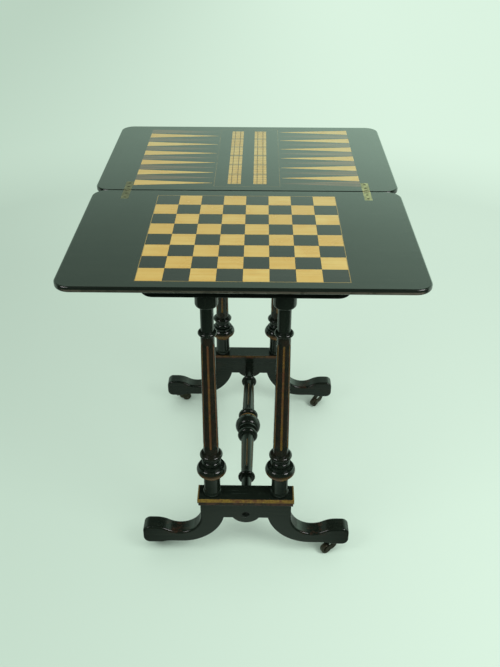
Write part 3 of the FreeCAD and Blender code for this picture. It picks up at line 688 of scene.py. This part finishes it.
dress(agedMetal("hingeBrass"), "chess_hinge_plates", "games_hinge_plates", "hinge_links")
screws = ("chess_hinge_screws", "games_hinge_screws", "chess_hinge_pins", "games_hinge_pins")
dress(agedMetal("screwBrass"), *screws)
dress(agedMetal("castorBrass"), *atEnds("castor_plate"), *atEnds("castor_horn"))
pivot = ("pivot_bush", "pivot_plate", "pivot_plate_screws", "pivot_washer", "pivot_nut")
dress(agedMetal("dullIron"), *pivot, "castor_screws", *atEnds("castor_axle"))

dowel = {
    "pale": shade(0.42, 0.29, 0.15),
    "dark": shade(0.30, 0.19, 0.09),
    "wornNoise": (180.0, 4.0, 0.6),
    "streakShare": 0.6,
    "wornShare": 0.4,
    "blend": (0.3, 0.7),
    "rough": 0.5,
    "wornRough": 0.2,
    "depth": 0.00008,
}


def dowelWood():
    finish = Finish("dowelWood")
    streak = finish.grain("z")
    worn = finish.noise(*dowel["wornNoise"])
    mask = (streak * dowel["streakShare"] + worn * dowel["wornShare"]).fade(*dowel["blend"])
    colour = mixed(mask, dowel["dark"], dowel["pale"])
    return finish.done(colour, dowel["rough"] + worn * dowel["wornRough"], streak, dowel["depth"])


dress(dowelWood(), "foot_dowels", "swivel_stop_peg")
dress(agedMetal("wheelBrass"), *atEnds("castor_wheel"))
print("metals and small parts dressed")


# pale floor and soft light
studio = {
    "floorSize": 60.0,
    "floorLeft": shade(0.47, 0.605, 0.505),
    "floorRight": shade(0.71, 0.89, 0.75),
    "floorSlant": 0.45,
    "floorFade": (-1.0, 0.55),
    "floorRough": 0.9,
    "farLeft": shade(0.50, 0.65, 0.535),
    "farRight": shade(0.715, 0.90, 0.755),
    "farFade": (-2.2, 1.0),
    "farReach": (0.7, 2.6),
    "lift": 0.66,
    "contact": 0.30,
    "contactSamples": 8,
    "openFrom": (0.45, 0.95),
    "frontShade": shade(0.06, 0.075, 0.065),
    "frontLine": (-0.42, -0.16),
    "frontCentre": -0.39,
    "frontRound": (0.10, 0.34),
    "sky": shade(0.60, 0.86, 0.68),
    "skyBack": (-0.30, 0.25),
    "skyRise": (0.52, 0.72),
    "skySide": (-0.3, 0.3, 0.62, 1.24),
    "skyLevel": (0.33, 0.43, 1.56, 0.87),
    "room": shade(0.012, 0.015, 0.013),
    "backdropSide": (-0.25, 0.15),
    "soft": shade(0.95, 1.0, 0.965),
    "ambient": 0.38,
}


def addFloor():
    bpy.ops.object.select_all(action="DESELECT")
    bpy.ops.mesh.primitive_plane_add(size=studio["floorSize"])
    floor = bpy.context.object
    floor.name = "floor"
    finish = Finish("paleFloor")
    seen = finish.start.node("ShaderNodeLightPath", out="Is Camera Ray")
    glossy = finish.start.node("ShaderNodeLightPath", out="Is Glossy Ray")
    forward = finish.y - studio["frontCentre"]
    away = (finish.x * finish.x + forward * forward).root()
    front = finish.y.fade(*studio["frontLine"], 1.0, 0.0) * away.fade(*studio["frontRound"])
    # painted shade: the cloth is darker to the left and a little towards the front, where less light falls;
    # in reflections the floor in front of the table is painted dark
    rightward = (finish.x + finish.y * studio["floorSlant"]).fade(*studio["floorFade"])
    cloth = mixed(rightward, studio["floorLeft"], studio["floorRight"])
    colour = mixed(glossy * front, cloth, studio["frontShade"])
    look = {"Base Color": colour, "Roughness": studio["floorRough"], "Specular IOR Level": 0.0}
    matt = finish.start.node("ShaderNodeBsdfPrincipled", None, look)
    # far off, the floor glows for the camera in a colour painted darker to the left, as painted shade
    tint = mixed(finish.x.fade(*studio["farFade"]), studio["farLeft"], studio["farRight"])
    far = finish.start.node("ShaderNodeEmission", None, {"Color": tint})
    reach = (finish.x * finish.x + finish.y * finish.y).root().fade(*studio["farReach"])
    # open floor glows a little for the camera, painted light that lifts its shade; close to the feet it keeps
    # the whole of its shadow
    samples = {"samples": studio["contactSamples"]}
    touch = {"Distance": studio["contact"]}
    clear = finish.start.node("ShaderNodeAmbientOcclusion", samples, touch, "AO").fade(*studio["openFrom"])
    glow = reach.larger(clear * studio["lift"]) * seen + reach * glossy * (1.0 - front)
    both = finish.start.node("ShaderNodeMixShader", None, {0: glow, 1: matt, 2: far})
    finish.start.node("ShaderNodeOutputMaterial", None, {"Surface": both})
    floor.data.materials.append(finish.material)


def addWorld():
    world = bpy.data.worlds.new("studio")
    world.use_nodes = True
    bpy.context.scene.world = world
    tree = world.node_tree
    tree.nodes.clear()
    start = Wire(tree)
    toward = {"Vector": start.node("ShaderNodeTexCoord", out="Generated")}
    side, back, rise = (start.node("ShaderNodeSeparateXYZ", None, toward, out=i) for i in range(3))
    seen = start.node("ShaderNodeLightPath", out="Is Camera Ray")
    glossy = start.node("ShaderNodeLightPath", out="Is Glossy Ray")
    # polished faces mirror a backdrop, brighter low down and to the right, dark overhead and in front
    lit = back.fade(*studio["skyBack"]) * rise.fade(*studio["skyRise"], 1.0, 0.0)
    level = side.fade(*studio["skySide"]) * rise.fade(*studio["skyLevel"])
    mirrored = mixed(lit, studio["room"], studio["sky"])
    # the backdrop the camera sees is painted darker to the left, painted shade where less light falls
    backdrop = mixed(side.fade(*studio["backdropSide"]), studio["farLeft"], studio["farRight"])
    colour = mixed(glossy, mixed(seen, studio["soft"], backdrop), mirrored)
    strength = glossy * level + seen + (1.0 - seen.larger(glossy)) * studio["ambient"]
    glow = start.node("ShaderNodeBackground", None, {"Color": colour, "Strength": strength})
    start.node("ShaderNodeOutputWorld", None, {"Surface": glow})


lamps = {
    "leftLamp": {"place": (-1.9, -1.7, 2.4), "aim": (0.0, -0.1, 0.4), "size": 1.5, "power": 34.0},
    "rightLamp": {"place": (1.9, -1.7, 2.4), "aim": (0.0, -0.1, 0.4), "size": 1.5, "power": 58.0},
    "topLamp": {
        "place": (0.0, -0.6, 3.1),
        "aim": (0.0, 0.0, 0.3),
        "size": 2.0,
        "power": 10.0,
        "mirrored": False,
    },
}


def addLamp(name, place, aim, size, power, mirrored=True):
    data = bpy.data.lights.new(name, "AREA")
    data.shape = "DISK"
    data.size = size
    data.energy = power
    lamp = bpy.data.objects.new(name, data)
    bpy.context.scene.collection.objects.link(lamp)
    lamp.location = place
    lamp.rotation_euler = (Vector(aim) - Vector(place)).to_track_quat("-Z", "Y").to_euler()
    lamp.visible_glossy = mirrored


addFloor()
addWorld()
for lampName, lampLook in lamps.items():
    addLamp(lampName, **lampLook)
print("floor and light set")
